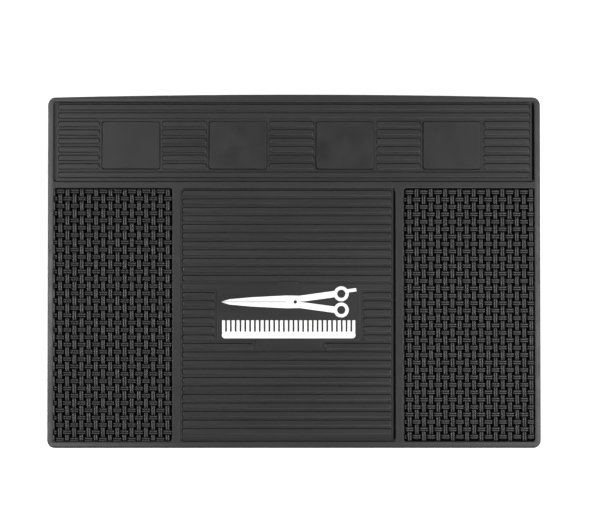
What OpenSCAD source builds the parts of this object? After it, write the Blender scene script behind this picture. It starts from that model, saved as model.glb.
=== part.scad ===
// Barber station mat: a flat rubber mat with a ribbed tool strip along the rear edge,
// two basket-weave panels and a ribbed centre panel with an inlaid emblem.
// It lies on z = 0 with +Z up. +X runs along the long side and +Y points to the rear strip.
// The origin is at the middle of the underside.

/* [Mat] */
// Overall width, left to right
mat_w = 450; // [440:1:460]
// Depth at the two ends, front to rear
mat_d = 320; // [316:1:326]
// How far the rear edge bows out at its middle
rear_bow = 2.6; // [0.5:0.1:5]
// Thickness at the rim
mat_t = 6; // [5.6:0.1:8]
// Radius of the outer corners
corner_r = 7; // [4:0.5:12]
// Thickness of the backing sheet
base_t = 2.4; // [2:0.1:2.8]

/* [Rim and dividers] */
// Width of the side rims
rim_side = 5.5; // [4.5:0.1:7]
// Width of the front rim
rim_front = 6.1; // [4.5:0.1:7]
// Width of the rear rim at its two ends
rim_rear = 4.2; // [3.5:0.1:6]
// Radius of the pocket corners
pocket_r = 2.5; // [1:0.5:4]
// Depth of the pocket for the tool strip
strip_d = 72.9; // [71:0.1:76]
// Width of the divider in front of the tool strip
cross_w = 5.9; // [4:0.1:8]
// Width of the left weave pocket
left_w = 108.3; // [104:0.1:110]
// Width of the divider beside the left weave
left_divider_w = 7.8; // [6:0.1:10]
// Width of the right weave pocket
right_w = 119.5; // [116:0.1:122]
// Width of the divider beside the right weave
right_divider_w = 7.4; // [6:0.1:10]

/* [Ribs] */
// Thickness of the floor that the ribs stand on
floor_t = 0.6; // [0.4:0.1:1]
// Height of a rib above that floor
rib_h = 1.4; // [0.8:0.1:1.8]
// Width of a rib
rib_w = 5.4; // [4.5:0.1:6]
// Radius of a rib's corners
rib_r = 1.8; // [0.5:0.1:2.2]
// Spacing of the ribs in the tool strip
strip_pitch = 7.75; // [7.3:0.05:7.9]
// Space between the rear wall and the first rib's middle line
strip_inset = 4.5; // [4:0.1:5]
// Space between the long ribs' ends and the side walls
strip_end_gap = 3.8; // [2:0.1:6]
// Spacing of the ribs in the centre panel
panel_pitch = 7.77; // [7.6:0.01:7.85]
// Number of ribs in the centre panel
panel_ribs = 29; // [26:1:29]
// Space between the centre panel's rear wall and the first rib's middle line
panel_inset = 4.5; // [3.5:0.1:5]
// Space between the centre ribs and the left divider
panel_gap_left = 1.6; // [1:0.1:5]
// Space between the centre ribs and the right divider
panel_gap_right = 3.6; // [1:0.1:5]

/* [Tool pads and magnets] */
// Width of a tool pad
pad_w = 52.4; // [48:0.1:55]
// Distance between the middles of neighbouring pads
pad_pitch = 97.9; // [96:0.1:99]
// Middle of the row of pads, from the middle of the mat
pad_row_x = -2.3; // [-3:0.1:3]
// Radius of a pad's corners
pad_r = 2; // [1:0.5:4]
// Space between a pad and the ends of the ribs beside it
pad_gap = 2.6; // [1:0.1:3]
// Space between a pad's long edges and the lines of the ribs beside it
pad_inset = 0.5; // [0:0.1:1.5]
// Width of the flat magnet under a pad
magnet_w = 46; // [30:1:47]
// Depth of that magnet
magnet_d = 36; // [25:1:37]
// Thickness of that magnet
magnet_t = 1.4; // [0.8:0.1:1.6]

/* [Basket weave] */
// Width of a strand
strand_w = 4; // [3.6:0.1:4.2]
// Thickness of a strand
strand_t = 1.5; // [1:0.1:1.6]
// Spacing of the strands that run front to rear
warp_pitch = 6.54; // [6.3:0.01:6.7]
// Middle of the left panel's first whole warp strand, from the pocket's left wall
left_warp_inset = 6; // [4.5:0.1:6.2]
// Middle of the right panel's first whole warp strand, from the pocket's left wall
right_warp_inset = 5.3; // [4.5:0.1:6]
// Spacing of the left panel's strands that run left to right
left_weft_pitch = 6.66; // [6.6:0.01:6.75]
// Middle of the left panel's first weft strand, from the pocket's rear wall
left_weft_inset = 2.8; // [2.8:0.1:4.5]
// Spacing of the right panel's strands that run left to right
right_weft_pitch = 6.76; // [6.6:0.01:6.8]
// Middle of the right panel's first weft strand, from the pocket's rear wall
right_weft_inset = 3.5; // [2.8:0.1:4.5]
// Space between the strands' ends and the pocket walls
weave_gap = 0.6; // [0.4:0.1:0.6]

/* [Emblem] */
// Middle of the emblem plaque, from the middle of the mat
plaque_x = -4.9; // [-8:0.1:8]
// Width of the plaque
plaque_w = 131.2; // [128:0.1:136]
// Width of the narrow step at the plaque's rear edge
plaque_rear_step_w = 19.8; // [16:0.2:30]
// Width of the wide step at the plaque's front edge
plaque_front_step_w = 60.2; // [50:0.1:80]
// Rib that the plaque's rear edge runs into, counted from 0 at the rear
plaque_first_rib = 11; // [9:1:12]
// Radius of the plaque's corners
plaque_r = 0.8; // [0.4:0.1:1]
// Space between the plaque's edge and the ends of the ribs beside it
plaque_gap = 2.6; // [1:0.1:4]
// Thickness of the white inlays
inlay_t = 0.9; // [0.6:0.1:1.2]
// How far the inlays stand above the plaque
inlay_proud = 0.25; // [0.1:0.05:0.5]

/* [Underside] */
// Spacing of the anti-slip grooves
groove_pitch = 12; // [10:1:20]
// Width of an anti-slip groove
groove_w = 3; // [2:0.5:5]
// Depth of an anti-slip groove
groove_depth = 0.5; // [0.3:0.1:0.6]

/* [Hidden] */
PAD_COUNT = 4;
$fn = 48;

// Colours
rubber_black = [0.13, 0.13, 0.14];
rubber_rib = [0.17, 0.17, 0.18];
rubber_weave = [0.22, 0.22, 0.23];
magnet_grey = [0.35, 0.35, 0.37];
inlay_white = [0.96, 0.96, 0.95];

// Outline of the mat
x_end = mat_w / 2;
y_front = -(mat_d + rear_bow) / 2;
y_rear = y_front + mat_d;
bow_steps = 24;
corner_steps = 8;

// Pockets in the rim frame, each as its left, right, front and rear walls
wall_left = -x_end + rim_side;
wall_right = x_end - rim_side;
wall_front = y_front + rim_front;
wall_rear = y_rear - rim_rear;
strip_front = wall_rear - strip_d;
panel_rear = strip_front - cross_w;
centre_left = wall_left + left_w + left_divider_w;
centre_right = wall_right - right_w - right_divider_w;
strip_pocket = [wall_left, wall_right, strip_front, wall_rear];
left_pocket = [wall_left, wall_left + left_w, wall_front, panel_rear];
centre_pocket = [centre_left, centre_right, wall_front, panel_rear];
right_pocket = [wall_right - right_w, wall_right, wall_front, panel_rear];
POCKETS = [strip_pocket, left_pocket, centre_pocket, right_pocket];

// The backing sheet fills a rebate that is half as wide as the rim
rebate = rim_side / 2;

// Heights
floor_z = base_t + floor_t;
rib_top = floor_z + rib_h;

// A strand that a wall cuts to less than this is left out
thinnest_strand = weave_gap + 0.1;

// Tool strip: full ribs behind and in front of the pads, short ribs between them
pad_first_row = 2;
pad_rows = 6;
strip_rows = pad_first_row + pad_rows + 1;
pad_rear = wall_rear - strip_inset - pad_first_row * strip_pitch + rib_w / 2 - pad_inset;
pad_d = (pad_rows - 1) * strip_pitch + rib_w - 2 * pad_inset;
pad_y = pad_rear - pad_d / 2;
strip_rib_left = wall_left + strip_end_gap;
strip_rib_right = wall_right - strip_end_gap;

// Centre panel: the plaque is as deep as this many ribs and the grooves between them
plaque_rows = 7;
panel_rib_left = centre_left + panel_gap_left;
panel_rib_right = centre_right - panel_gap_right;
panel_groove = panel_pitch - rib_w;
plaque_rear = panel_row_y(plaque_first_rib) + rib_w / 2;
plaque_front = plaque_rear - plaque_rows * panel_pitch + panel_groove;
plaque_y = (plaque_rear + plaque_front) / 2;

// Emblem inlays
comb_l = 122;
comb_spine = 6;
comb_tooth_l = 10.4;
comb_tooth_w = 2.7;
comb_tooth_pitch = 4.4;
comb_y = plaque_front + 2.2;
shears_y = plaque_rear - 16.6;

function strip_row_y(row) = wall_rear - strip_inset - row * strip_pitch;
function panel_row_y(row) = panel_rear - panel_inset - row * panel_pitch;
function pad_x(i) = pad_row_x + (i - (PAD_COUNT - 1) / 2) * pad_pitch;
function arc(cx, cy, r, from, to, steps) =
    [for (i = [0:steps]) let (a = from + (to - from) * i / steps) [cx + r * cos(a), cy + r * sin(a)]];

// The rear edge is a shallow bow between the two rear corners
function bow(x) = rear_bow * (1 - pow(x / (x_end - corner_r), 2));
function mat_outline(inset) =
    let (r = corner_r - inset, cx = x_end - corner_r,
         front = y_front + corner_r, rear = y_rear - corner_r)
    concat(
        arc(-cx, front, r, 180, 270, corner_steps),
        arc(cx, front, r, 270, 360, corner_steps),
        arc(cx, rear, r, 0, 90, corner_steps),
        [for (i = [1:bow_steps - 1]) let (x = cx - 2 * cx * i / bow_steps)
            [x, y_rear - inset + bow(x)]],
        arc(-cx, rear, r, 90, 180, corner_steps));

module round_rect(left, right, front, rear, r) {
    translate([left, front + r])
        square([right - left, rear - front - 2 * r]);
    translate([left + r, front])
        square([right - left - 2 * r, rear - front]);
    for (x = [left + r, right - r], y = [front + r, rear - r])
        translate([x, y])
            circle(r);
}

module pocket_plan(pocket) {
    round_rect(pocket[0], pocket[1], pocket[2], pocket[3], pocket_r);
}

module rib_plan(left, right, y) {
    round_rect(left, right, y - rib_w / 2, y + rib_w / 2, rib_r);
}

module rib(left, right, y) {
    translate([0, 0, floor_z])
        linear_extrude(rib_h)
            rib_plan(left, right, y);
}

module pad_plan(i) {
    half = pad_w / 2;
    round_rect(pad_x(i) - half, pad_x(i) + half, pad_rear - pad_d, pad_rear, pad_r);
}

module magnet_plan(i) {
    translate([pad_x(i), pad_y])
        square([magnet_w, magnet_d], center = true);
}

// Backing sheet under everything inside the rim, with anti-slip grooves and magnet seats
module base_sheet() {
    grooves = floor((mat_d - 2 * groove_pitch) / groove_pitch);
    color(rubber_black)
        difference() {
            linear_extrude(base_t)
                polygon(mat_outline(rebate));
            for (i = [0:PAD_COUNT - 1])
                translate([0, 0, base_t - magnet_t])
                    linear_extrude(magnet_t + 1)
                        magnet_plan(i);
            for (i = [0:grooves])
                translate([0, (i - grooves / 2) * groove_pitch, 0])
                    cube([mat_w - 4 * groove_pitch, groove_w, 2 * groove_depth], center = true);
        }
}

// Raised border and the three dividers, one moulding around the four pockets
module rim_frame() {
    color(rubber_black)
        difference() {
            linear_extrude(mat_t)
                polygon(mat_outline(0));
            translate([0, 0, -1])
                linear_extrude(base_t + 1)
                    polygon(mat_outline(rebate));
            for (pocket = POCKETS)
                translate([0, 0, base_t - 1])
                    linear_extrude(mat_t)
                        pocket_plan(pocket);
        }
}

// Ribbed floor of the tool strip, with a window for each tool pad
module tool_strip_ribs() {
    color(rubber_rib) {
        difference() {
            translate([0, 0, base_t])
                linear_extrude(floor_t)
                    pocket_plan(strip_pocket);
            for (i = [0:PAD_COUNT - 1])
                translate([0, 0, base_t - 1])
                    linear_extrude(floor_t + 2)
                        pad_plan(i);
        }
        for (row = [0:strip_rows - 1])
            if (row < pad_first_row || row >= pad_first_row + pad_rows)
                rib(strip_rib_left, strip_rib_right, strip_row_y(row));
            else
                short_ribs(strip_row_y(row));
    }
}

// One row of short ribs, in the spaces beside and between the pads
module short_ribs(y) {
    reach = pad_w / 2 + pad_gap;
    for (i = [0:PAD_COUNT])
        rib(i == 0 ? strip_rib_left : pad_x(i - 1) + reach,
            i == PAD_COUNT ? strip_rib_right : pad_x(i) - reach,
            y);
}

// Smooth pad for one clipper or trimmer
module tool_pad(i) {
    color(rubber_rib)
        translate([0, 0, base_t])
            linear_extrude(rib_top - base_t)
                pad_plan(i);
}

// Flat magnet sealed between a tool pad and the backing sheet
module pad_magnet(i) {
    color(magnet_grey)
        translate([0, 0, base_t - magnet_t])
            linear_extrude(magnet_t)
                magnet_plan(i);
}

// Half of the width that the plaque takes out of a row of the centre panel, with the gaps
// beside it, or 0 where it takes nothing out
function plaque_reach(row) =
    let (n = row - plaque_first_rib)
    n > 0 && n < plaque_rows ? plaque_w / 2 + plaque_gap
    : n == plaque_rows ? plaque_front_step_w / 2 + plaque_gap
    : 0;

// Ribbed floor of the centre panel, without the one rib that the plaque has along its rear edge
module centre_panel_ribs() {
    color(rubber_rib) {
        translate([0, 0, base_t])
            linear_extrude(floor_t)
                pocket_plan(centre_pocket);
        for (row = [0:panel_ribs - 1]) {
            reach = plaque_reach(row);
            if (reach > 0) {
                rib(panel_rib_left, plaque_x - reach, panel_row_y(row));
                rib(plaque_x + reach, panel_rib_right, panel_row_y(row));
            }
            else if (row != plaque_first_rib)
                rib(panel_rib_left, panel_rib_right, panel_row_y(row));
        }
    }
}

// The strands between a pocket's walls count from 0 for the first whole one, whose middle is
// `first` from the near wall. Strand -1 is there if that wall leaves enough of it.
function first_strand(first, pitch) = first - pitch + strand_w / 2 > thinnest_strand ? -1 : 0;
function last_strand(span, first, pitch) =
    floor((span - first + strand_w / 2 - thinnest_strand) / pitch);

// A strand goes over and under the strands that cross it. Its underside is a wave of flats and
// slopes from one pocket wall to the other, and it is high where it crosses a strand i with
// i + phase even.
function wave(span, first, pitch, phase) =
    let (start = first_strand(first, pitch), last = last_strand(span, first, pitch))
    [for (i = [start:last], side = [-1, 1])
        let (at_start = i == start && side < 0, at_end = i == last && side > 0)
        [at_start ? weave_gap : at_end ? span - weave_gap : first + i * pitch + side * strand_w / 2,
         (i + phase) % 2 == 0 ? strand_t : 0]];

function strand_profile(span, first, pitch, phase) =
    let (low = wave(span, first, pitch, phase))
    concat(
        [for (p = low) [p[0], p[1] + strand_t]],
        [for (i = [len(low) - 1:-1:0]) low[i]]);

// Strands side by side across a span, each with its side view along the other direction
module strands(across, first, pitch, along, cross_first, cross_pitch, phase) {
    for (k = [first_strand(first, pitch):last_strand(across, first, pitch)])
        translate([0, first + k * pitch - strand_w / 2, 0])
            rotate([90, 0, 0])
                mirror([0, 0, 1])
                    linear_extrude(strand_w)
                        polygon(strand_profile(along, cross_first, cross_pitch,
                            (k + 2 + phase) % 2));
}

// The pocket's walls and corners cut the outermost strands
module in_pocket(pocket) {
    intersection() {
        children();
        translate([0, 0, base_t])
            linear_extrude(2 * strand_t + 1)
                pocket_plan(pocket);
    }
}

// Strands that run front to rear
module warp(pocket, warp_inset, weft_inset, weft_pitch) {
    color(rubber_weave)
        in_pocket(pocket)
            translate([pocket[0], pocket[3], base_t])
                rotate(-90)
                    strands(pocket[1] - pocket[0], warp_inset, warp_pitch,
                        pocket[3] - pocket[2], weft_inset, weft_pitch, 1);
}

// Strands that run left to right, high where the others are low
module weft(pocket, warp_inset, weft_inset, weft_pitch) {
    color(rubber_weave)
        in_pocket(pocket)
            translate([pocket[0], pocket[3], base_t])
                mirror([0, 1, 0])
                    strands(pocket[3] - pocket[2], weft_inset, weft_pitch,
                        pocket[1] - pocket[0], warp_inset, warp_pitch, 0);
}

module left_weave_warp() {
    warp(left_pocket, left_warp_inset, left_weft_inset, left_weft_pitch);
}

module left_weave_weft() {
    weft(left_pocket, left_warp_inset, left_weft_inset, left_weft_pitch);
}

module right_weave_warp() {
    warp(right_pocket, right_warp_inset, right_weft_inset, right_weft_pitch);
}

module right_weave_weft() {
    weft(right_pocket, right_warp_inset, right_weft_inset, right_weft_pitch);
}

// Closed cutting shears, tips to the left, around a pivot at the origin
module shears_plan() {
    ring_r = 6.8;
    hole_r = 3.8;
    half = [[-68, 0], [-60, 2.4], [-40, 4.2], [-8, 5.8], [4, 5.6], [37, 10.2],
            [37, 4.4], [9, 0.6], [2, 0]];
    other = [for (i = [len(half) - 2:-1:1]) [half[i][0], -half[i][1]]];
    difference() {
        union() {
            polygon(concat(half, other));
            for (side = [-1, 1])
                translate([42, side * 7.4])
                    circle(ring_r);
            translate([47, 8.4])
                rotate(8)
                    square([9, 3]);
        }
        for (side = [-1, 1])
            translate([42, side * 7.4])
                circle(hole_r);
        circle(1.6);
        translate([-70, -0.25])
            square([62, 0.5]);
    }
}

// Cutting comb with a rounded spine, teeth towards the rear
module comb_plan() {
    teeth = floor((comb_l - comb_tooth_w) / comb_tooth_pitch);
    run = teeth * comb_tooth_pitch + comb_tooth_w;
    round_rect(-comb_l / 2, comb_l / 2, 0, comb_spine, comb_spine / 2 - 0.1);
    for (i = [0:teeth])
        translate([-run / 2 + i * comb_tooth_pitch, comb_spine - 1])
            square([comb_tooth_w, comb_tooth_l + 1]);
}

module shears_place() {
    translate([plaque_x + 6, shears_y])
        shears_plan();
}

module comb_place() {
    translate([plaque_x, comb_y])
        comb_plan();
}

module plaque_plan(width, front, rear) {
    round_rect(plaque_x - width / 2, plaque_x + width / 2, front, rear, plaque_r);
}

// Smooth plaque on the centre panel, in one with a whole rib along its rear edge, and with
// a seat for each white inlay
module emblem_plaque() {
    seat_z = rib_top + inlay_proud - inlay_t;
    color(rubber_rib)
        difference() {
            translate([0, 0, floor_z])
                linear_extrude(rib_h) {
                    rib_plan(panel_rib_left, panel_rib_right, panel_row_y(plaque_first_rib));
                    plaque_plan(plaque_w, plaque_front, plaque_rear);
                    plaque_plan(plaque_rear_step_w, plaque_y, plaque_rear + panel_groove);
                    plaque_plan(plaque_front_step_w, plaque_front - panel_pitch, plaque_y);
                }
            translate([0, 0, seat_z])
                linear_extrude(inlay_t + 1) {
                    shears_place();
                    comb_place();
                }
        }
}

module inlay() {
    color(inlay_white)
        translate([0, 0, rib_top + inlay_proud - inlay_t])
            linear_extrude(inlay_t)
                children();
}

module emblem_shears() {
    inlay()
        shears_place();
}

module emblem_comb() {
    inlay()
        comb_place();
}

base_sheet();
rim_frame();
tool_strip_ribs();
centre_panel_ribs();
tool_pad(0);  // tool_pad_1
tool_pad(1);  // tool_pad_2
tool_pad(2);  // tool_pad_3
tool_pad(3);  // tool_pad_4
pad_magnet(0);  // pad_magnet_1
pad_magnet(1);  // pad_magnet_2
pad_magnet(2);  // pad_magnet_3
pad_magnet(3);  // pad_magnet_4
left_weave_warp();
left_weave_weft();
right_weave_warp();
right_weave_weft();
emblem_plaque();
emblem_shears();
emblem_comb();
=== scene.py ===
"""Looks of a rubber barber station mat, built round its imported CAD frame.

The mouldings are drawn from the CAD nodes' own outlines, with the rounded edges of moulded rubber.
The basket weave is swept strand by strand. The mat's lengths are in mm until a mesh is made from
them, and the textures, the lights and the camera are in metres.
"""

import math

import bpy
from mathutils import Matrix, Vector
from mathutils.geometry import tessellate_polygon


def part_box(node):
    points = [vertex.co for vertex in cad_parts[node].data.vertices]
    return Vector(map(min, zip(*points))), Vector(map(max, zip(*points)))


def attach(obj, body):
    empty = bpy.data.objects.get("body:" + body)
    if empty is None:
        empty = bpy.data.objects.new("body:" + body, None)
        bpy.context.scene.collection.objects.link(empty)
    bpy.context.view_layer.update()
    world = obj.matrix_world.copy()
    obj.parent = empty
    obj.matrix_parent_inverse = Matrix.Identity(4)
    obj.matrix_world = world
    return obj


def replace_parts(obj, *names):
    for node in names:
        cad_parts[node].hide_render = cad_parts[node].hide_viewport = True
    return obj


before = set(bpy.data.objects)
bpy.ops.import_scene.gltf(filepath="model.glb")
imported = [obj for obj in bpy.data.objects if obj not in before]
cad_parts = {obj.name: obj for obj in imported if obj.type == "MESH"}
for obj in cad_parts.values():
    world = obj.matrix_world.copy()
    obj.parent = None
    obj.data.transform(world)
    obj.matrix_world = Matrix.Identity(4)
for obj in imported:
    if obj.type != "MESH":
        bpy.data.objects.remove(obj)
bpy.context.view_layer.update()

MM = 0.001

# Heights of the CAD mouldings
BASE_TOP = 2.4
FLOOR_TOP = 3.0
RIB_TOP = 4.4
MAT_TOP = 6.0
INLAY_TOP = 4.65

# The side rims fall by this much a mm from this far out
SIDE_FALL = 0.23
SIDE_START = 220.6

# A pocket whose middle is this near the mat's middle line has a ribbed floor
RIBBED_WITHIN = 50

# Width of the dark slot between a ribbed floor and the wall on its right
WALL_SLOT = 1.8

# Space round the pads in their windows
PAD_CLEARANCE = {"left": 0.7, "right": 0.1, "front": 0.7, "rear": 0.3}

# Basket weave, as in the CAD
STRAND_W = 4.0
STRAND_T = 1.5
WARP_PITCH = 6.54
WEAVE_GAP = 0.6
THINNEST_STRAND = WEAVE_GAP + 0.1
WEAVES = {
    "left": {"warp_inset": 6.0, "weft_pitch": 6.66, "weft_inset": 2.8},
    "right": {"warp_inset": 5.3, "weft_pitch": 6.76, "weft_inset": 3.5},
}


# --- Outlines -----------------------------------------------------------------------------------

# A face counts as flat at a height if its normal is this upright and its corners are this near
UPRIGHT = 0.9
NEAR = 0.01

# An inset corner moves as if it turned no more sharply than this share allows
SHARPEST_TURN = 0.4


def area(loop):
    """Signed area of a closed outline, positive if it turns to the left."""
    return sum(a[0] * b[1] - b[0] * a[1] for a, b in zip(loop, loop[1:] + loop[:1])) / 2


def plan(node, height, facing=1):
    """Outlines round a CAD node's flat faces at a height, largest first, with the material on the
    left. facing is 1 for faces that look up and -1 for faces that look down."""
    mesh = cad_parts[node].data
    edges = set()
    for face in mesh.polygons:
        corners = [tuple(round(c / MM, 3) for c in mesh.vertices[i].co) for i in face.vertices]
        if face.normal.z * facing < UPRIGHT or any(abs(c[2] - height) > NEAR for c in corners):
            continue
        ring = [c[:2] for c in corners][::facing]
        for edge in zip(ring, ring[1:] + ring[:1]):
            if edge[::-1] in edges:
                edges.remove(edge[::-1])
            else:
                edges.add(edge)
    after = dict(sorted(edges))
    loops = []
    while after:
        start, here = next(iter(after.items()))
        loop = [start]
        del after[start]
        while here != start:
            loop.append(here)
            here = after.pop(here)
        loops.append(loop)
    return sorted(loops, key=lambda loop: -abs(area(loop)))


def inset(loop, distance):
    """The outline moved into the material on its left."""
    moved = []
    for before, here, after in zip(loop[-1:] + loop[:-1], loop, loop[1:] + loop[:1]):
        into = (Vector(here) - Vector(before)).normalized()
        out = (Vector(after) - Vector(here)).normalized()
        side = Vector((-into.y - out.y, into.x + out.x))
        side *= distance / max(SHARPEST_TURN, 1 + into.dot(out))
        moved.append((here[0] + side.x, here[1] + side.y))
    return moved


def rounded_edge(top, radius, draft=0.0, lip=0.3, steps=4):
    """Inset and height of the rings from a wall over its rounded top edge, and of one more ring on
    the flat top, a lip's width further in. The wall leans in by the draft below the edge."""
    arc = [math.pi / 2 * i / steps for i in range(steps + 1)]
    rings = [(draft + radius * (1 - math.cos(a)), top - radius * (1 - math.sin(a))) for a in arc]
    return rings + [(draft + radius + lip, top)]


# --- Meshes -------------------------------------------------------------------------------------

# An edge that turns by more than this stays sharp
SHARP_ANGLE = math.radians(50)

# A triangle with less area than this, in square mm, is left out of a flat face
SMALLEST_TRIANGLE = 1e-9


class Shell:
    """Vertices and faces of one piece, built up from rings."""

    def __init__(self):
        self.vertices = []
        self.faces = []

    def ring(self, points):
        """Adds the points and returns their numbers."""
        start = len(self.vertices)
        self.vertices += points
        return list(range(start, len(self.vertices)))

    def wall(self, lower, upper):
        """Faces between two rings, looking away from the material."""
        self.faces += zip(lower, lower[1:] + lower[:1], upper[1:] + upper[:1], upper)

    def cap(self, rings, up=True):
        """A flat face that fills the outlines among the rings and leaves their holes open."""
        index = [i for ring in rings for i in ring]
        flat = [[Vector(self.vertices[i][:2] + (0.0,)) for i in ring] for ring in rings]
        for triangle in tessellate_polygon(flat):
            corners = [index[i] for i in triangle]
            turn = area([self.vertices[i][:2] for i in corners])
            if abs(turn) > SMALLEST_TRIANGLE:
                self.faces.append(corners if (turn > 0) == up else corners[::-1])

    def climb(self, loop, profile):
        """Walls up a profile of insets and heights. Returns the first and the last ring."""
        rings = [self.ring([(x, y, z) for x, y in inset(loop, d)]) for d, z in profile]
        for lower, upper in zip(rings, rings[1:]):
            self.wall(lower, upper)
        return rings[0], rings[-1]

    def slab(self, loops, profile):
        """A closed solid with the same profile round each outline."""
        ends = [self.climb(loop, profile) for loop in loops]
        self.cap([low for low, high in ends], up=False)
        self.cap([high for low, high in ends])

    def piece(self, name, material, slot, *nodes):
        """The finished object, which stands for CAD nodes."""
        mesh = bpy.data.meshes.new(name)
        mesh.from_pydata([[c * MM for c in v] for v in self.vertices], [], self.faces)
        mesh.polygons.foreach_set("use_smooth", [True] * len(mesh.polygons))
        mesh.set_sharp_from_angle(angle=SHARP_ANGLE)
        mesh.materials.append(material)
        obj = bpy.data.objects.new(name, mesh)
        bpy.context.scene.collection.objects.link(obj)
        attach(obj, "root")
        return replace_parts(obj, *nodes)


# --- Materials ----------------------------------------------------------------------------------

# Sockets of a Mix node that is set to colours
MIX_A = 6
MIX_B = 7
MIX_RESULT = 2


class Finish:
    """A procedural material in the making. Its textures lie in the mat's own frame, in metres."""

    def __init__(self, name):
        self.material = bpy.data.materials.new(name)
        self.material.use_nodes = True
        self.tree = self.material.node_tree
        self.shader = self.tree.nodes["Principled BSDF"]
        self.place = self.add("ShaderNodeTexCoord").outputs["Object"]

    def add(self, kind, **settings):
        """A node. Settings that name an input fill or link it, and others are the node's own."""
        node = self.tree.nodes.new(kind)
        for name, value in settings.items():
            label = name.replace("_", " ").title()
            if label not in node.inputs:
                setattr(node, name, value)
            elif isinstance(value, bpy.types.NodeSocket):
                self.tree.links.new(value, node.inputs[label])
            else:
                node.inputs[label].default_value = value
        return node

    def noise(self, scale, detail=2.0, stretch=(1, 1, 1)):
        """Noise from 0 to 1, with its features about a metre divided by scale across."""
        place = self.add("ShaderNodeMapping", vector=self.place, scale=stretch)
        texture = self.add("ShaderNodeTexNoise", vector=place.outputs[0], scale=scale, detail=detail)
        return texture.outputs["Fac"]

    def between(self, value, low, high, start=0.3, end=0.7):
        """The value, spread from low to high as it goes from start to end."""
        spread = self.add(
            "ShaderNodeMapRange", value=value, from_min=start, from_max=end, to_min=low, to_max=high
        )
        return spread.outputs[0]

    def times(self, a, b):
        """The product of two values."""
        node = self.add("ShaderNodeMath", operation="MULTIPLY")
        for socket, value in zip(node.inputs, (a, b)):
            self.tree.links.new(value, socket)
        return node.outputs[0]

    def grey(self, shade):
        """The grey colour of a shade."""
        return self.add("ShaderNodeCombineColor", red=shade, green=shade, blue=shade).outputs[0]

    def bump(self, height, depth, normal=None):
        """A normal from a height, laid over another normal if there is one."""
        node = self.add("ShaderNodeBump", height=height, distance=depth, strength=1.0)
        if normal is not None:
            self.tree.links.new(normal, node.inputs["Normal"])
        return node.outputs[0]

    def set(self, **inputs):
        """Fills or links the shader's own inputs."""
        for name, value in inputs.items():
            socket = self.shader.inputs[name.replace("_", " ")]
            if isinstance(value, bpy.types.NodeSocket):
                self.tree.links.new(value, socket)
            else:
                socket.default_value = value


def rubber(name, tone, roughness, grain=0.000012, specular=0.5, painted_shade_heights=None, stretch=(1, 1, 1)):
    """Matt moulded rubber: cloudy tone, a fine grain, faint flow marks and a few pale specks.
    Given two heights for painted shade, its reflection fades from almost none below the first, painted
    shade for deep places, to its own sheen above the second."""
    f = Finish(name)
    cloud = f.between(f.noise(22, detail=4), 0.88, 1.12)
    flow = f.between(f.noise(160, detail=3, stretch=stretch), 0.92, 1.08)
    specks = f.between(f.noise(1300, detail=1), 1.0, 3.0, start=0.72, end=0.8)
    shade = f.times(f.times(cloud, flow), specks)
    colour = f.add("ShaderNodeMix", data_type="RGBA", blend_type="MULTIPLY")
    colour.inputs["Factor"].default_value = 1.0
    colour.inputs[MIX_A].default_value = (tone, tone, tone, 1)
    f.tree.links.new(shade, colour.inputs[MIX_B])
    grit = f.bump(f.noise(1500, detail=2), grain)
    swell = f.bump(f.noise(90, detail=2, stretch=stretch), grain * 3, grit)
    f.set(
        Base_Color=colour.outputs[MIX_RESULT],
        Roughness=f.between(f.noise(70, detail=3, stretch=stretch), roughness - 0.05, roughness + 0.05),
        Normal=swell,
    )
    # Painted shade: the reflection fades out low down, so deep places look darker than the lamps make
    # them.
    if painted_shade_heights:
        height = f.add("ShaderNodeSeparateXYZ", vector=f.place).outputs["Z"]
        specular = f.between(height, 0.02, specular, painted_shade_heights[0] * MM, painted_shade_heights[1] * MM)
    f.set(Specular_IOR_Level=specular)
    return f.material


def white_rubber(name):
    """White inlay: clean, matt, with a slightly uneven skin."""
    f = Finish(name)
    f.set(
        Base_Color=f.grey(f.between(f.noise(120, detail=3), 0.7, 0.75)),
        Roughness=f.between(f.noise(400), 0.5, 0.62),
        Normal=f.bump(f.noise(1500), 0.000008),
    )
    return f.material


def ferrite(name):
    """Sintered magnet: dark grey, with a coarse ground grain."""
    f = Finish(name)
    f.set(
        Base_Color=f.grey(f.between(f.noise(700, detail=4), 0.07, 0.14)),
        Metallic=0.6,
        Roughness=f.between(f.noise(900, stretch=(1, 0.1, 1)), 0.4, 0.6),
        Normal=f.bump(f.noise(1800), 0.00002),
    )
    return f.material


RIM = rubber("rim rubber", 0.006, 0.46, stretch=(0.2, 1, 1))
RIB = rubber("rib rubber", 0.005, 0.42, stretch=(0.1, 1, 1))
PAD = rubber("pad rubber", 0.005, 0.42, grain=0.000006)
# The weave's strands lose their reflection below 3.8 mm: painted shade that makes the gaps between
# strands look black.
WEAVE = rubber("weave rubber", 0.004, 0.4, specular=0.6, grain=0.000010, painted_shade_heights=(3.8, 5.0))
# The backing is darker and duller than the other rubber: painted shade, so the holes in the weave look
# black.
BACKING = rubber("backing rubber", 0.002, 0.8, specular=0.05, grain=0.00003)
WHITE = white_rubber("inlay rubber")
MAGNET = ferrite("magnet ferrite")


# --- Mouldings ----------------------------------------------------------------------------------

# Insets and heights up the walls of the mouldings. The rim's outer wall has an eased bottom edge,
# and a ribbed pocket's wall and a rib have a fillet at the foot.
OUTER_WALL = [(0.4, 0), (0.1, 0.1), (0, 0.4), (0, 2.5)]
WEAVE_POCKET_WALL = [(0, BASE_TOP), (0, 3.5)]
FOOT_REACH = 0.8
FOOT_TOP = FLOOR_TOP + 1.1
RIBBED_POCKET_WALL = [
    (-FOOT_REACH, BASE_TOP),
    (-FOOT_REACH, FLOOR_TOP),
    (-0.45, FLOOR_TOP + 0.15),
    (-0.15, FLOOR_TOP + 0.5),
    (0, FOOT_TOP),
]
RIB_WALL = [
    (-0.3, FLOOR_TOP - 0.1),
    (-0.3, FLOOR_TOP),
    (-0.12, FLOOR_TOP + 0.06),
    (0, FLOOR_TOP + 0.25),
]


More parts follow.
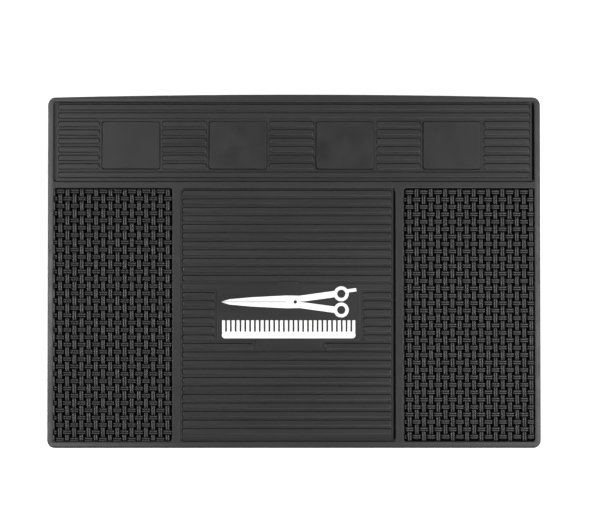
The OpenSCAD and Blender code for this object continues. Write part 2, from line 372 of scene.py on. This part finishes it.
def pocket_wall(shell, pocket):
    """The wall round one of the rim's pockets. Its foot runs straight down on the right."""
    left, right = min(pocket)[0], max(pocket)[0]
    ribbed = abs(left + right) / 2 < RIBBED_WITHIN
    wall = RIBBED_POCKET_WALL if ribbed else WEAVE_POCKET_WALL
    start = len(shell.vertices)
    ends = shell.climb(pocket, wall + rounded_edge(MAT_TOP, 0.7, lip=0.4, steps=5))
    for i, (x, y, z) in enumerate(shell.vertices[start:], start):
        if right - FOOT_REACH - NEAR < x < right and z < FOOT_TOP:
            shell.vertices[i] = (right, y, z)
    return ends


def fallen(point):
    """A point of the rim, lowered if it is high on a side rim."""
    x, y, z = point
    if z > FLOOR_TOP:
        z -= SIDE_FALL * max(0, abs(x) - SIDE_START)
    return x, y, z


def rim_moulding():
    """Border and dividers, one moulding round the four pockets and over the backing's edge."""
    shell = Shell()
    outline, *pockets = plan("rim_frame", MAT_TOP)
    outer_edge = rounded_edge(MAT_TOP, 0.8, lip=0.4, steps=5)
    outer_foot, outer_top = shell.climb(outline, OUTER_WALL + outer_edge)
    inner = [pocket_wall(shell, pocket) for pocket in pockets]
    rebate = plan("rim_frame", 0, facing=-1)[1]
    rebate_foot, rebate_top = shell.climb(rebate, [(0, 0), (0, BASE_TOP)])
    shell.cap([outer_foot, rebate_foot], up=False)
    shell.cap([rebate_top] + [low for low, high in inner], up=False)
    shell.cap([outer_top] + [high for low, high in inner])
    shell.vertices = [fallen(point) for point in shell.vertices]
    return shell.piece("rim_moulding", RIM, "rim", "rim_frame")


def eased(window):
    """A pad's window with the clearance round the pad, which sits towards the rear right of it."""
    middle_x, middle_y = (sum(p[axis] for p in window) / len(window) for axis in (0, 1))
    return [
        (
            x + (PAD_CLEARANCE["right"] if x > middle_x else -PAD_CLEARANCE["left"]),
            y + (PAD_CLEARANCE["rear"] if y > middle_y else -PAD_CLEARANCE["front"]),
        )
        for x, y in window
    ]


def ribbed_floor(name, node):
    """A pocket's floor, with ribs that have rounded edges and a small fillet at the foot."""
    shell = Shell()
    floor, *windows = plan(node, BASE_TOP, facing=-1)
    slot = max(floor)[0] - WALL_SLOT
    floor = [(min(x, slot), y) for x, y in floor]
    shell.slab([floor] + [eased(window) for window in windows], [(0, BASE_TOP), (0, FLOOR_TOP)])
    for rib in plan(node, RIB_TOP):
        shell.slab([rib], RIB_WALL + rounded_edge(RIB_TOP, 0.75, draft=0.2))
    return shell.piece(name, RIB, "ribs", node)


def flat_pad(name, node, material, slot, foot, radius):
    """A smooth block, from its foot up to the ribs' height, with rounded top edges."""
    shell = Shell()
    wall = [(0, foot), (0, foot + 0.4)]
    shell.slab(plan(node, foot, facing=-1), wall + rounded_edge(RIB_TOP, radius, draft=0.05))
    return shell.piece(name, material, slot, node)


def inlay(name, node):
    """White inlay that stands just proud of the plaque."""
    shell = Shell()
    loops = plan(node, INLAY_TOP)
    islands = [loop for loop in loops if area(loop) > 0]
    holes = [loop for loop in loops if area(loop) < 0]
    foot = (0, RIB_TOP - 0.2)
    shell.slab(islands + holes, [foot] + rounded_edge(INLAY_TOP, 0.12, lip=0.08, steps=3))
    return shell.piece(name, WHITE, "inlay", node)


def refinish(node, material):
    """Gives a CAD node that keeps its mesh a new material."""
    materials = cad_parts[node].data.materials
    materials.clear()
    materials.append(material)


# --- Basket weave -------------------------------------------------------------------------------

# Section of a strand: two cords side by side with a crease between them, on a flat sole. Each point
# is a share of half the strand's width and a share of its thickness.
CREASE = (0.0, 0.56)
CORD = [
    (0.08, 0.64),
    (0.19, 0.84),
    (0.3, 0.95),
    (0.42, 1.01),
    (0.52, 1.03),
    (0.63, 1.01),
    (0.74, 0.94),
    (0.84, 0.8),
    (0.91, 0.55),
    (0.91, 0.2),
]
SOLE = 0.84
SECTION = [CREASE, *CORD, (SOLE, 0.0), (-SOLE, 0.0), *((-x, z) for x, z in CORD[::-1])]

# A float, where a strand goes over another, is level as far as the first length from its middle and
# is down again at the second. The two strands' numbers add up to an odd sum where the warp goes over
# and to an even one where the weft does, and over is that sum's remainder by 2.
SETS = {
    "warp": {"level": 3.9, "down": 4.7, "over": 1},
    "weft": {"level": 2.9, "down": 3.8, "over": 0},
}

# How far along its fall a float's rings lie, and the place and height of its slight crown
FALL_SHARES = (0.0, 0.45, 0.75, 0.93, 1.0)
CROWN_REACH = 0.55
CROWN = 1.02

# Rings that round off a strand's end: distance past its run, and shares of its width and thickness
END_RINGS = [(0.5, 0.8, 0.6), (0.35, 0.925, 0.85)]
END_LENGTH = END_RINGS[0][0]

# Least length of run between its end and the next ring
END_STEP = 0.2


def strand_numbers(span, first, pitch):
    """Numbers of the strands between two walls. The first whole one is 0, and a wall cuts -1."""
    start = -1 if first - pitch + STRAND_W / 2 > THINNEST_STRAND else 0
    return range(start, math.floor((span - first + STRAND_W / 2 - THINNEST_STRAND) / pitch) + 1)


def strand_run(number, crossed, level, down, over):
    """Distance along a strand and height of its underside, for each ring from wall to wall. crossed
    is the span, first middle and pitch of the strands that it crosses."""
    span, first, pitch = crossed
    run = []
    for i in strand_numbers(*crossed):
        middle = first + i * pitch
        if (number + i) % 2 != over:
            run.append((middle, 0.0))
            continue
        fall = [(level + (down - level) * s, math.sqrt(1 - s * s)) for s in FALL_SHARES]
        half = [(CROWN_REACH * level, 1.0)] + fall
        run += [(middle - d, STRAND_T * h) for d, h in half[::-1]]
        run.append((middle, STRAND_T * CROWN))
        run += [(middle + d, STRAND_T * h) for d, h in half]
    near = WEAVE_GAP + END_LENGTH
    far = span - near
    inside = [(s, z) for s, z in run if near + END_STEP < s < far - END_STEP]
    return [(near, inside[0][1])] + inside + [(far, inside[-1][1])]


def cut_section(low, high):
    """The part of a strand's section between two shares of its half width."""
    section = SECTION
    for wall, side in ((low, 1), (high, -1)):
        kept = []
        for (x0, z0), (x1, z1) in zip(section, section[1:] + section[:1]):
            inside = (x0 - wall) * side >= 0
            next_inside = (x1 - wall) * side >= 0
            if inside:
                kept.append((x0, z0))
            if inside != next_inside:
                share = (wall - x0) / (x1 - x0)
                kept.append((wall, z0 + share * (z1 - z0)))
        section = kept
    return section


def add_strand(shell, place, middle, near, far, run):
    """One strand, swept along its run and closed with rounded ends. The walls at near and far may
    cut it. place turns a point along, across and above the backing sheet into the mat's frame."""
    half = STRAND_W / 2
    section = cut_section((near - middle) / half, (far - middle) / half)
    (first, first_z), (last, last_z) = run[0], run[-1]
    stations = [(first - d, first_z, wide, tall) for d, wide, tall in END_RINGS]
    stations += [(s, z, 1.0, 1.0) for s, z in run]
    stations += [(last + d, last_z, wide, tall) for d, wide, tall in END_RINGS[::-1]]
    rings = []
    for s, z, wide, tall in stations:
        across = [min(max(middle + half * wide * x, near), far) for x, h in section]
        heights = [z + STRAND_T * tall * h for x, h in section]
        rings.append(shell.ring([place(s, t, height) for t, height in zip(across, heights)]))
    for lower, upper in zip(rings, rings[1:]):
        shell.wall(lower, upper)
    shell.faces += [rings[0][::-1], rings[-1]]


def weave_piece(side, set_name, pocket):
    """All the strands of one panel that run the same way."""
    left, right, front, rear = pocket
    sizes = WEAVES[side]
    warp = (right - left, sizes["warp_inset"], WARP_PITCH)
    weft = (rear - front, sizes["weft_inset"], sizes["weft_pitch"])
    runs_back = set_name == "warp"
    own, crossed = (warp, weft) if runs_back else (weft, warp)
    across, first, pitch = own

    def place(s, t, z):
        x, y = (t, s) if runs_back else (s, t)
        return left + x, rear - y, BASE_TOP + z

    shell = Shell()
    for number in strand_numbers(*own):
        middle = first + number * pitch
        near = max(0, middle - STRAND_W / 2)
        far = min(across, middle + STRAND_W / 2)
        run = strand_run(number, crossed, **SETS[set_name])
        add_strand(shell, place, middle, near, far, run)
    name = f"{side}_{set_name}_cords"
    return shell.piece(name, WEAVE, "weave", f"{side}_weave_{set_name}")


def pocket_round(node):
    """Walls of the rim's pocket round a node: left, right, front and rear."""
    low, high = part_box(node)
    middle = (low + high) / 2 / MM
    for loop in plan("rim_frame", MAT_TOP)[1:]:
        xs, ys = [p[0] for p in loop], [p[1] for p in loop]
        if min(xs) < middle.x < max(xs) and min(ys) < middle.y < max(ys):
            return min(xs), max(xs), min(ys), max(ys)
    raise ValueError(f"no pocket round {node}")


# --- The mat ------------------------------------------------------------------------------------

rim_moulding()
ribbed_floor("tool_strip_moulding", "tool_strip_ribs")
ribbed_floor("centre_panel_moulding", "centre_panel_ribs")
for number in range(1, 5):
    flat_pad(f"tool_pad_{number}_moulding", f"tool_pad_{number}", PAD, "pads", BASE_TOP, 0.5)
    refinish(f"pad_magnet_{number}", MAGNET)
flat_pad("plaque_moulding", "emblem_plaque", RIB, "plaque", FLOOR_TOP, 0.45)
inlay("shears_inlay", "emblem_shears")
inlay("comb_inlay", "emblem_comb")
for side in WEAVES:
    pocket = pocket_round(f"{side}_weave_warp")
    weave_piece(side, "warp", pocket)
    weave_piece(side, "weft", pocket)
refinish("base_sheet", BACKING)


# --- Studio -------------------------------------------------------------------------------------

# Sides of the round floor and backdrop
STAGE_SIDES = 96

# The floor lies this far under the mat
FLOOR_DROP = 0.0001


def plain(name, shade, emission):
    """A flat grey for the stage, which gives off white light."""
    material = bpy.data.materials.new(name)
    material.use_nodes = True
    shader = material.node_tree.nodes["Principled BSDF"]
    shader.inputs["Base Color"].default_value = (shade, shade, shade, 1)
    shader.inputs["Roughness"].default_value = 0.9
    shader.inputs["Specular IOR Level"].default_value = 0.0
    shader.inputs["Emission Color"].default_value = (1, 1, 1, 1)
    shader.inputs["Emission Strength"].default_value = emission
    return material


def circle(radius, height):
    """Points round the mat's middle."""
    turn = [2 * math.pi * i / STAGE_SIDES for i in range(STAGE_SIDES)]
    return [(radius * math.cos(a), radius * math.sin(a), height) for a in turn]


def stage_piece(name, points, faces, material):
    """A mesh that isn't part of the mat."""
    mesh = bpy.data.meshes.new(name)
    mesh.from_pydata(points, [], faces)
    mesh.materials.append(material)
    obj = bpy.data.objects.new(name, mesh)
    bpy.context.scene.collection.objects.link(obj)
    return obj


def round_floor(radius, height):
    """A disc for the mat to lie on."""
    faces = [list(range(STAGE_SIDES))]
    return stage_piece("floor", circle(radius, height), faces, plain("floor", 0.8, 0.35))


def round_backdrop(radius, bottom, top):
    """A closed white drum round the stage, which only the camera sees."""
    points = circle(radius, bottom) + circle(radius, top)
    lower = list(range(STAGE_SIDES))
    upper = [i + STAGE_SIDES for i in lower]
    faces = list(zip(lower[1:] + lower[:1], lower, upper, upper[1:] + upper[:1]))
    faces += [lower, upper[::-1]]
    backdrop = stage_piece("backdrop", points, faces, plain("backdrop", 0.0, 1.0))
    for ray in ("diffuse", "glossy", "transmission", "volume_scatter", "shadow"):
        setattr(backdrop, f"visible_{ray}", False)


def softbox(name, place, size, watts, aim=(0, 0, 0)):
    """A soft rectangular lamp that the camera doesn't see."""
    light = bpy.data.lights.new(name, "AREA")
    light.shape = "RECTANGLE"
    light.size, light.size_y = size
    light.energy = watts
    obj = bpy.data.objects.new(name, light)
    obj.location = place
    obj.rotation_euler = (Vector(aim) - Vector(place)).to_track_quat("-Z", "Y").to_euler()
    obj.visible_camera = False
    bpy.context.scene.collection.objects.link(obj)


def faint_world(strength):
    """A faint white light from all round."""
    world = bpy.data.worlds.new("studio")
    world.use_nodes = True
    background = world.node_tree.nodes["Background"]
    background.inputs["Color"].default_value = (1, 1, 1, 1)
    background.inputs["Strength"].default_value = strength
    bpy.context.scene.world = world


def overhead_camera(aim, distance, tilt):
    """A long lens that looks down at a point, from straight above but for a tilt to the front."""
    camera = bpy.data.objects.new("camera", bpy.data.cameras.new("camera"))
    camera.data.lens = 85
    camera.data.sensor_width = 36
    camera.data.clip_start, camera.data.clip_end = 0.01, 20
    back = Vector((0, -math.sin(tilt), math.cos(tilt)))
    camera.location = Vector(aim) + back * distance
    camera.rotation_euler = (-back).to_track_quat("-Z", "Y").to_euler()
    bpy.context.scene.collection.objects.link(camera)
    bpy.context.scene.camera = camera


round_floor(1.2, -FLOOR_DROP)
round_backdrop(4.0, bottom=-0.01, top=3.99)
faint_world(0.02)
softbox("left_softbox", (-0.95, 0.05, 1.4), size=(0.8, 1.2), watts=8)
softbox("left_spot", (-1.15, 0.0, 1.2), size=(0.4, 0.5), watts=11, aim=(-0.1, 0, 0))
softbox("right_softbox", (0.95, -0.1, 1.4), size=(0.8, 1.2), watts=9.5)
softbox("right_spot", (1.15, -0.1, 1.2), size=(0.4, 0.5), watts=6.5, aim=(0.1, 0, 0))
softbox("rear_softbox", (0, 1.1, 1.35), size=(1.8, 0.7), watts=10)
softbox("front_softbox", (0.2, -1.5, 0.9), size=(2.2, 0.5), watts=13)
softbox("key_softbox", (1.0, -1.4, 0.8), size=(2.4, 1.5), watts=38)
overhead_camera((0.00544, 0.00730, MAT_TOP * MM), distance=1.2923, tilt=math.radians(0.9))
bpy.context.scene.view_settings.view_transform = "Standard"
bpy.context.scene.view_settings.look = "None"
